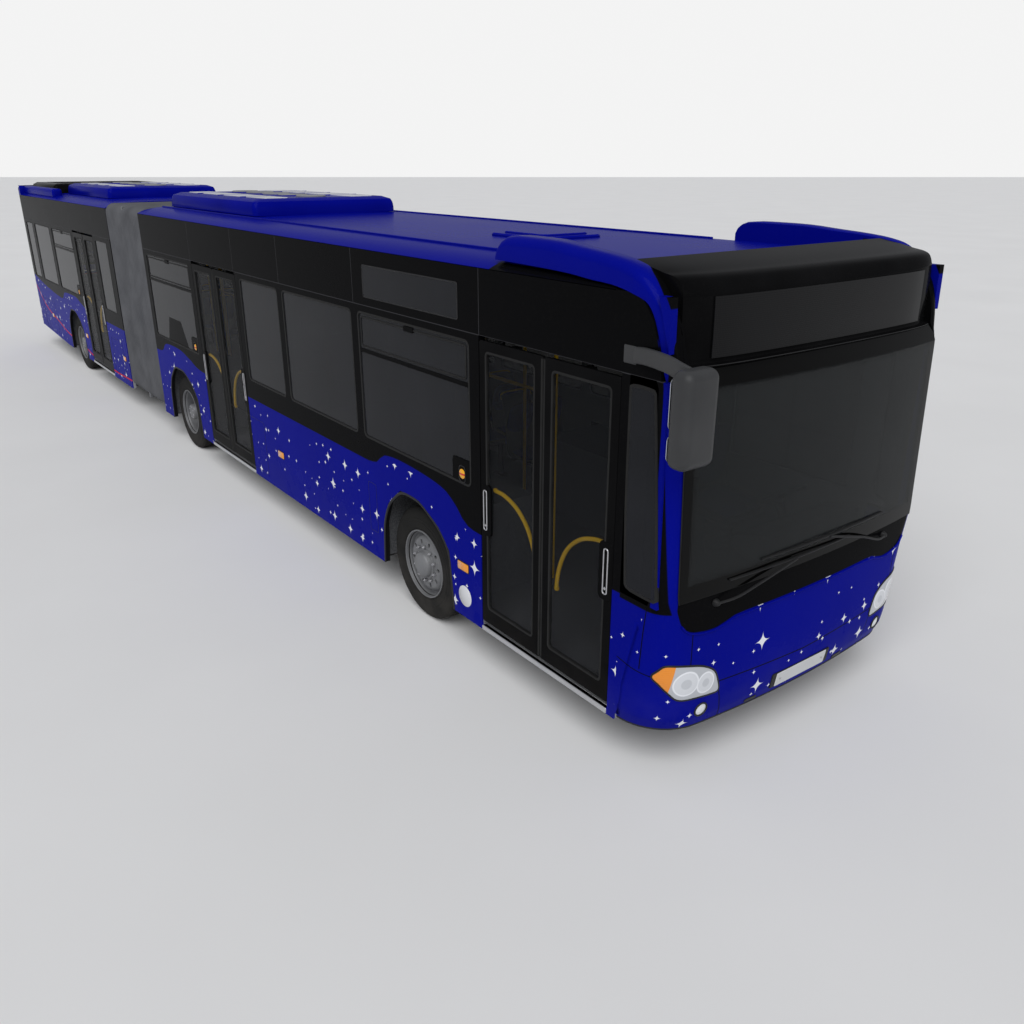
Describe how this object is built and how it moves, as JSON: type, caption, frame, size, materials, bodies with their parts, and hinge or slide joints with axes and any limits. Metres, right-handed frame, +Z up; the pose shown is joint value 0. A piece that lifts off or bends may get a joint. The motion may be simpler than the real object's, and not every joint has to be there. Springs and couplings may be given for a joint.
{
  "type": "articulated city bus",
  "caption": "Articulated low-floor city bus: two hollow sections joined by a turntable and bellows, with steered front wheels, twin rear wheels and inward-swinging double doors.",
  "frame": {"origin": "centre of the bounding box's underside, on the ground under the middle of the bus", "axes": "+X forwards along the bus, +Y to its left, +Z up"},
  "size_m": [18.325, 3.04, 3.2],
  "materials": {
    "body_blue": "gloss",
    "black_trim": "gloss",
    "grey_plastic": "matte",
    "floor_grey": "matte",
    "steel": "satin",
    "chassis_black": "satin",
    "tinted_glass": "gloss",
    "lamp_clear": "gloss",
    "lamp_red": "gloss",
    "seat_fabric": "matte",
    "pole_yellow": "satin",
    "bellows_grey": "matte",
    "tyre_rubber": "matte"
  },
  "bodies": {
    "front_section": {"chassis_front": "chassis_black", "tow_sockets": "chassis_black", "floor_front": "floor_grey", "wall_right_front": "body_blue", "wall_left_front": "body_blue", "roof_front": "body_blue", "nose": "body_blue", "windscreen": "tinted_glass", "dome": "black_trim", "windows_front": "tinted_glass", "roof_pod_front": "body_blue", "roof_fairings": "body_blue", "mirrors": "grey_plastic", "headlamps": "lamp_clear", "wipers": "black_trim", "driver_cab": "grey_plastic", "driver_seat": "seat_fabric", "seats_front": "seat_fabric", "poles_front": "pole_yellow", "front_axle": "chassis_black", "middle_axle": "chassis_black", "bellows_front": "bellows_grey"},
    "hoop": {"hoop": "bellows_grey"},
    "rear_section": {"chassis_rear": "chassis_black", "floor_rear": "floor_grey", "wall_right_rear": "body_blue", "wall_left_rear": "body_blue", "tail_wall": "body_blue", "roof_rear": "body_blue", "windows_rear": "tinted_glass", "roof_pod_rear": "body_blue", "tail_cover": "black_trim", "tail_lamps": "lamp_red", "engine": "steel", "rear_axle": "chassis_black", "seats_rear": "seat_fabric", "poles_rear": "pole_yellow", "bellows_rear": "bellows_grey"},
    "engine_flap": {"engine_flap": "body_blue"},
    "knuckle_right": {"knuckle_right": "steel"},
    "knuckle_left": {"knuckle_left": "steel"},
    "front_wheel_right": {"front_wheel_right": "tyre_rubber"},
    "front_wheel_left": {"front_wheel_left": "tyre_rubber"},
    "middle_wheel_right": {"middle_wheel_right": "tyre_rubber"},
    "middle_wheel_left": {"middle_wheel_left": "tyre_rubber"},
    "rear_wheel_right": {"rear_wheel_right": "tyre_rubber"},
    "rear_wheel_left": {"rear_wheel_left": "tyre_rubber"},
    "steering_wheel": {"steering_wheel": "tyre_rubber"},
    "door_1_rear_column": {"door_1_rear_column": "steel"},
    "door_1_rear_leaf": {"door_1_rear_leaf": "black_trim"},
    "door_1_front_column": {"door_1_front_column": "steel"},
    "door_1_front_leaf": {"door_1_front_leaf": "black_trim"},
    "door_2_rear_column": {"door_2_rear_column": "steel"},
    "door_2_rear_leaf": {"door_2_rear_leaf": "black_trim"},
    "door_2_front_column": {"door_2_front_column": "steel"},
    "door_2_front_leaf": {"door_2_front_leaf": "black_trim"},
    "door_3_rear_column": {"door_3_rear_column": "steel"},
    "door_3_rear_leaf": {"door_3_rear_leaf": "black_trim"},
    "door_3_front_column": {"door_3_front_column": "steel"},
    "door_3_front_leaf": {"door_3_front_leaf": "black_trim"}
  },
  "joints": [
    {"name": "articulation", "type": "hinge", "parent": "front_section", "child": "rear_section", "pos_m": [-1.4475, 0, 0.27], "axis": [0, 0, 1], "range_deg": [-50, 50], "deforming": ["bellows_front", "bellows_rear"]},
    {"name": "hoop_turn", "type": "hinge", "parent": "front_section", "child": "hoop", "pos_m": [-1.4475, 0, 0.27], "axis": [0, 0, 1], "range_deg": [-25, 25]},
    {"name": "engine_flap_hinge", "type": "hinge", "parent": "rear_section", "child": "engine_flap", "pos_m": [-9.1585, 0, 1.376], "axis": [0, 1, 0], "range_deg": [0, 80]},
    {"name": "steer_left", "type": "hinge", "parent": "front_section", "child": "knuckle_left", "pos_m": [6.1575, 0.93, 0.4785], "axis": [0, 0, 1], "range_deg": [-45, 45]},
    {"name": "front_wheel_left_spin", "type": "hinge", "parent": "knuckle_left", "child": "front_wheel_left", "pos_m": [6.1575, 1.22, 0.4785], "axis": [0, 1, 0], "continuous": true},
    {"name": "middle_wheel_left_spin", "type": "hinge", "parent": "front_section", "child": "middle_wheel_left", "pos_m": [0.2575, 1.205, 0.4785], "axis": [0, 1, 0], "continuous": true},
    {"name": "rear_wheel_left_spin", "type": "hinge", "parent": "rear_section", "child": "rear_wheel_left", "pos_m": [-5.7325, 1.205, 0.4785], "axis": [0, 1, 0], "continuous": true},
    {"name": "steer_right", "type": "hinge", "parent": "front_section", "child": "knuckle_right", "pos_m": [6.1575, -0.93, 0.4785], "axis": [0, 0, 1], "range_deg": [-45, 45]},
    {"name": "front_wheel_right_spin", "type": "hinge", "parent": "knuckle_right", "child": "front_wheel_right", "pos_m": [6.1575, -1.22, 0.4785], "axis": [0, 1, 0], "continuous": true},
    {"name": "middle_wheel_right_spin", "type": "hinge", "parent": "front_section", "child": "middle_wheel_right", "pos_m": [0.2575, -1.205, 0.4785], "axis": [0, 1, 0], "continuous": true},
    {"name": "rear_wheel_right_spin", "type": "hinge", "parent": "rear_section", "child": "rear_wheel_right", "pos_m": [-5.7325, -1.205, 0.4785], "axis": [0, 1, 0], "continuous": true},
    {"name": "steering_wheel_turn", "type": "hinge", "parent": "front_section", "child": "steering_wheel", "pos_m": [8.0825, 0.7525, 1.19], "axis": [-0.5, 0, 0.866], "range_deg": [-810, 810]},
    {"name": "door_1_rear_turn", "type": "hinge", "parent": "front_section", "child": "door_1_rear_column", "pos_m": [7.0635, -1.2, 1], "axis": [0, 0, 1], "range_deg": [0, 80]},
    {"name": "door_1_rear_leaf_swing", "type": "hinge", "parent": "door_1_rear_column", "child": "door_1_rear_leaf", "pos_m": [7.418, -1.2, 1], "axis": [0, 0, 1], "range_deg": [-160, 0]},
    {"name": "door_1_front_turn", "type": "hinge", "parent": "front_section", "child": "door_1_front_column", "pos_m": [8.4815, -1.2, 1], "axis": [0, 0, -1], "range_deg": [0, 80]},
    {"name": "door_1_front_leaf_swing", "type": "hinge", "parent": "door_1_front_column", "child": "door_1_front_leaf", "pos_m": [8.127, -1.2, 1], "axis": [0, 0, -1], "range_deg": [-160, 0]},
    {"name": "door_2_rear_turn", "type": "hinge", "parent": "front_section", "child": "door_2_rear_column", "pos_m": [1.2835, -1.2, 1], "axis": [0, 0, 1], "range_deg": [0, 80]},
    {"name": "door_2_rear_leaf_swing", "type": "hinge", "parent": "door_2_rear_column", "child": "door_2_rear_leaf", "pos_m": [1.638, -1.2, 1], "axis": [0, 0, 1], "range_deg": [-160, 0]},
    {"name": "door_2_front_turn", "type": "hinge", "parent": "front_section", "child": "door_2_front_column", "pos_m": [2.7015, -1.2, 1], "axis": [0, 0, -1], "range_deg": [0, 80]},
    {"name": "door_2_front_leaf_swing", "type": "hinge", "parent": "door_2_front_column", "child": "door_2_front_leaf", "pos_m": [2.347, -1.2, 1], "axis": [0, 0, -1], "range_deg": [-160, 0]},
    {"name": "door_3_rear_turn", "type": "hinge", "parent": "rear_section", "child": "door_3_rear_column", "pos_m": [-4.7065, -1.2, 1], "axis": [0, 0, 1], "range_deg": [0, 80]},
    {"name": "door_3_rear_leaf_swing", "type": "hinge", "parent": "door_3_rear_column", "child": "door_3_rear_leaf", "pos_m": [-4.352, -1.2, 1], "axis": [0, 0, 1], "range_deg": [-160, 0]},
    {"name": "door_3_front_turn", "type": "hinge", "parent": "rear_section", "child": "door_3_front_column", "pos_m": [-3.2885, -1.2, 1], "axis": [0, 0, -1], "range_deg": [0, 80]},
    {"name": "door_3_front_leaf_swing", "type": "hinge", "parent": "door_3_front_column", "child": "door_3_front_leaf", "pos_m": [-3.643, -1.2, 1], "axis": [0, 0, -1], "range_deg": [-160, 0]}
  ],
  "couplings": [
    {"joint": "hoop_turn", "follows": "articulation", "ratio": 0.5},
    {"joint": "steer_right", "follows": "steer_left", "ratio": 1},
    {"joint": "steering_wheel_turn", "follows": "steer_left", "ratio": 18},
    {"joint": "door_1_rear_leaf_swing", "follows": "door_1_rear_turn", "ratio": -2},
    {"joint": "door_1_front_leaf_swing", "follows": "door_1_front_turn", "ratio": -2},
    {"joint": "door_2_rear_leaf_swing", "follows": "door_2_rear_turn", "ratio": -2},
    {"joint": "door_2_front_leaf_swing", "follows": "door_2_front_turn", "ratio": -2},
    {"joint": "door_3_rear_leaf_swing", "follows": "door_3_rear_turn", "ratio": -2},
    {"joint": "door_3_front_leaf_swing", "follows": "door_3_front_turn", "ratio": -2}
  ]
}
